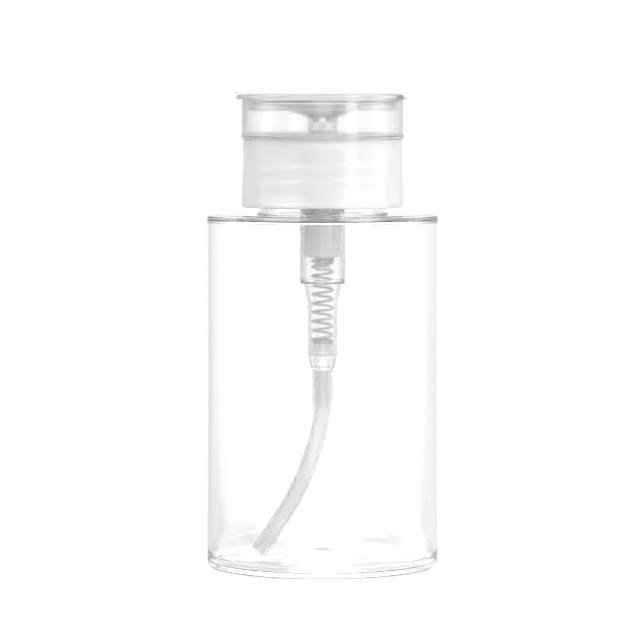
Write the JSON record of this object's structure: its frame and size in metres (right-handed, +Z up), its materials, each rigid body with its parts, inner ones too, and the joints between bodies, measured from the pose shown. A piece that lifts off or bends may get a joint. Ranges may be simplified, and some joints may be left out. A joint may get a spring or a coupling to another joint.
{
  "type": "push-down pump bottle",
  "caption": "Clear cylindrical push-down disc pump bottle for massage oil, with screw collar, guard ring, flip lid, sprung piston pump and bent dip tube.",
  "frame": {"origin": "centre of the bottle's base, on the surface it stands on", "axes": "+Z up along the bottle's axis; the lid's hinge is on +X; the dip tube leans towards -X"},
  "size_m": [0.055, 0.055, 0.1142],
  "materials": {
    "clear_pet": "water-clear, glossy blow-moulded wall",
    "collar_pp": "milky natural plastic with a smooth satin gloss",
    "ring_pp": "clear to slightly milky moulded plastic, glossy",
    "lid_pp": "slightly milky moulded plastic, glossy",
    "dish_pp": "translucent natural plastic, smooth",
    "pump_pp": "translucent natural plastic, smooth",
    "piston_pe": "opaque white, softly matt",
    "tube_pe": "translucent extruded tube, waxy",
    "gasket_foam": "closed-cell foam sheet, matt",
    "spring_steel": "drawn stainless wire, bright",
    "ball_glass": "polished glass bead"
  },
  "bodies": {
    "bottle": {"bottle": "clear_pet"},
    "pump": {"housing": "pump_pp", "gasket": "gasket_foam", "guide_cap": "pump_pp", "spring": "spring_steel", "ball_cage": "pump_pp", "dip_tube": "tube_pe"},
    "collar": {"collar": "collar_pp", "guard_ring": "ring_pp"},
    "lid": {"lid": "lid_pp"},
    "plunger": {"press_dish": "dish_pp", "piston_rod": "piston_pe", "piston": "piston_pe", "rod_tip": "piston_pe"},
    "inlet_ball": {"inlet_ball": "ball_glass"},
    "outlet_ball": {"outlet_ball": "ball_glass"}
  },
  "joints": [
    {"name": "pump_lift", "type": "slide", "parent": "bottle", "child": "pump", "axis": [0, 0, 1], "range_m": [0, 0.0065]},
    {"name": "collar_turn", "type": "hinge", "parent": "pump", "child": "collar", "pos_m": [0, 0, 0.094], "axis": [0, 0, 1], "range_deg": [0, 720]},
    {"name": "lid_flip", "type": "hinge", "parent": "collar", "child": "lid", "pos_m": [0.0196, 0, 0.11305], "axis": [0, 1, 0], "range_deg": [0, 120]},
    {"name": "press_stroke", "type": "slide", "parent": "pump", "child": "plunger", "axis": [0, 0, -1], "range_m": [0, 0.0048], "stiffness_N_per_m": 1200, "springref_m": -0.003, "deforming": ["spring"]},
    {"name": "inlet_valve", "type": "slide", "parent": "pump", "child": "inlet_ball", "axis": [0, 0, 1], "range_m": [0, 0.0005]},
    {"name": "outlet_valve", "type": "slide", "parent": "plunger", "child": "outlet_ball", "axis": [0, 0, 1], "range_m": [0, 0.0004]}
  ],
  "couplings": [
    {"joint": "pump_lift", "follows": "collar_turn", "m_per_rad": 0.0005093}
  ]
}
